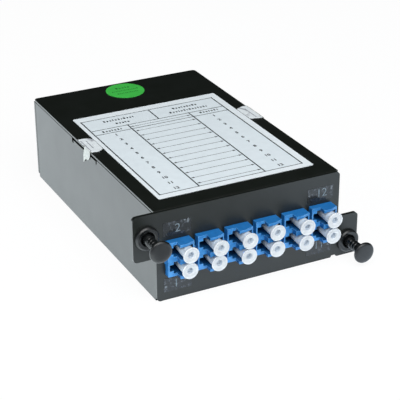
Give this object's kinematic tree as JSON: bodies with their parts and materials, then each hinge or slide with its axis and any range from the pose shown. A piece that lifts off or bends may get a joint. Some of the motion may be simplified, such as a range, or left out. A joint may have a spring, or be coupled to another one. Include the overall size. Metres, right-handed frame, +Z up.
{
  "type": "fibre cassette",
  "caption": "Sheet-metal rack cassette that breaks a multi-fibre plug at the back out to duplex fibre ports in front, with dust caps and push-pull fasteners.",
  "frame": {"origin": "middle of the case's underside, halfway between the front panel and the back wall", "axes": "+X to the right seen from the front, +Y to the back, +Z up; the front panel faces -Y"},
  "size_m": [0.0879, 0.1452, 0.0337],
  "materials": {
    "black_sheet": "satin black paint on folded steel sheet",
    "white_film": "white printed film",
    "green_film": "green printed film",
    "clear_film": "clear film",
    "blue_plastic": "moulded blue plastic",
    "white_cap": "translucent white plastic",
    "blue_plug": "moulded plastic",
    "ceramic": "zirconia",
    "black_nylon": "moulded nylon",
    "black_plastic": "moulded plastic",
    "steel": "plain steel",
    "yellow_fibre": "yellow fibre jacket"
  },
  "bodies": {
    "case": {"case_tray": "black_sheet", "top_cover": "black_sheet", "wiring_label": "white_film", "round_sticker": "green_film", "seal_tape_left": "white_film", "seal_tape_right": "white_film", "port_tag_1": "clear_film", "port_tag_2": "clear_film", "port_tag_11": "clear_film", "port_tag_12": "clear_film", "lc_coupler_1": "blue_plastic", "lc_coupler_2": "blue_plastic", "lc_coupler_3": "blue_plastic", "lc_coupler_4": "blue_plastic", "lc_coupler_5": "blue_plastic", "lc_coupler_6": "blue_plastic", "lc_plug_1": "blue_plug", "lc_plug_2": "blue_plug", "lc_plug_3": "blue_plug", "lc_plug_4": "blue_plug", "lc_plug_5": "blue_plug", "lc_plug_6": "blue_plug", "lc_plug_7": "blue_plug", "lc_plug_8": "blue_plug", "lc_plug_9": "blue_plug", "lc_plug_10": "blue_plug", "lc_plug_11": "blue_plug", "lc_plug_12": "blue_plug", "alignment_sleeves": "ceramic", "grommet_left": "black_nylon", "grommet_right": "black_nylon", "mpo_coupler": "black_plastic", "mpo_screws": "steel", "mpo_plug": "black_plastic", "fibre_coil": "yellow_fibre", "coil_clips": "white_cap", "fanout_block": "black_plastic", "mpo_lead": "yellow_fibre", "leads_lower": "yellow_fibre", "leads_upper": "yellow_fibre"},
    "dust_cap_1": {"dust_cap_1": "white_cap"},
    "dust_cap_2": {"dust_cap_2": "white_cap"},
    "dust_cap_3": {"dust_cap_3": "white_cap"},
    "dust_cap_4": {"dust_cap_4": "white_cap"},
    "dust_cap_5": {"dust_cap_5": "white_cap"},
    "dust_cap_6": {"dust_cap_6": "white_cap"},
    "dust_cap_7": {"dust_cap_7": "white_cap"},
    "dust_cap_8": {"dust_cap_8": "white_cap"},
    "dust_cap_9": {"dust_cap_9": "white_cap"},
    "dust_cap_10": {"dust_cap_10": "white_cap"},
    "dust_cap_11": {"dust_cap_11": "white_cap"},
    "dust_cap_12": {"dust_cap_12": "white_cap"},
    "plunger_left": {"plunger_left": "black_nylon"},
    "plunger_right": {"plunger_right": "black_nylon"},
    "mpo_dust_cap": {"mpo_dust_cap": "black_plastic"}
  },
  "joints": [
    {"name": "dust_cap_1_pull", "type": "slide", "parent": "case", "child": "dust_cap_1", "axis": [0, -1, 0], "range_m": [-0.0003, 0.0125]},
    {"name": "dust_cap_2_pull", "type": "slide", "parent": "case", "child": "dust_cap_2", "axis": [0, -1, 0], "range_m": [-0.0011, 0.0125]},
    {"name": "dust_cap_3_pull", "type": "slide", "parent": "case", "child": "dust_cap_3", "axis": [0, -1, 0], "range_m": [0, 0.0125]},
    {"name": "dust_cap_4_pull", "type": "slide", "parent": "case", "child": "dust_cap_4", "axis": [0, -1, 0], "range_m": [-0.0013, 0.0125]},
    {"name": "dust_cap_5_pull", "type": "slide", "parent": "case", "child": "dust_cap_5", "axis": [0, -1, 0], "range_m": [-0.0005, 0.0125]},
    {"name": "dust_cap_6_pull", "type": "slide", "parent": "case", "child": "dust_cap_6", "axis": [0, -1, 0], "range_m": [-0.0012, 0.0125]},
    {"name": "dust_cap_7_pull", "type": "slide", "parent": "case", "child": "dust_cap_7", "axis": [0, -1, 0], "range_m": [-0.0004, 0.0125]},
    {"name": "dust_cap_8_pull", "type": "slide", "parent": "case", "child": "dust_cap_8", "axis": [0, -1, 0], "range_m": [-0.0004, 0.0125]},
    {"name": "dust_cap_9_pull", "type": "slide", "parent": "case", "child": "dust_cap_9", "axis": [0, -1, 0], "range_m": [-0.0012, 0.0125]},
    {"name": "dust_cap_10_pull", "type": "slide", "parent": "case", "child": "dust_cap_10", "axis": [0, -1, 0], "range_m": [-0.0016, 0.0125]},
    {"name": "dust_cap_11_pull", "type": "slide", "parent": "case", "child": "dust_cap_11", "axis": [0, -1, 0], "range_m": [-0.0009, 0.0125]},
    {"name": "dust_cap_12_pull", "type": "slide", "parent": "case", "child": "dust_cap_12", "axis": [0, -1, 0], "range_m": [-0.0014, 0.0125]},
    {"name": "plunger_left_push", "type": "slide", "parent": "case", "child": "plunger_left", "axis": [0, 1, 0], "range_m": [0, 0.0085]},
    {"name": "plunger_right_push", "type": "slide", "parent": "case", "child": "plunger_right", "axis": [0, 1, 0], "range_m": [0, 0.0085]},
    {"name": "mpo_dust_cap_pull", "type": "slide", "parent": "case", "child": "mpo_dust_cap", "axis": [0, 1, 0], "range_m": [0, 0.01]}
  ]
}
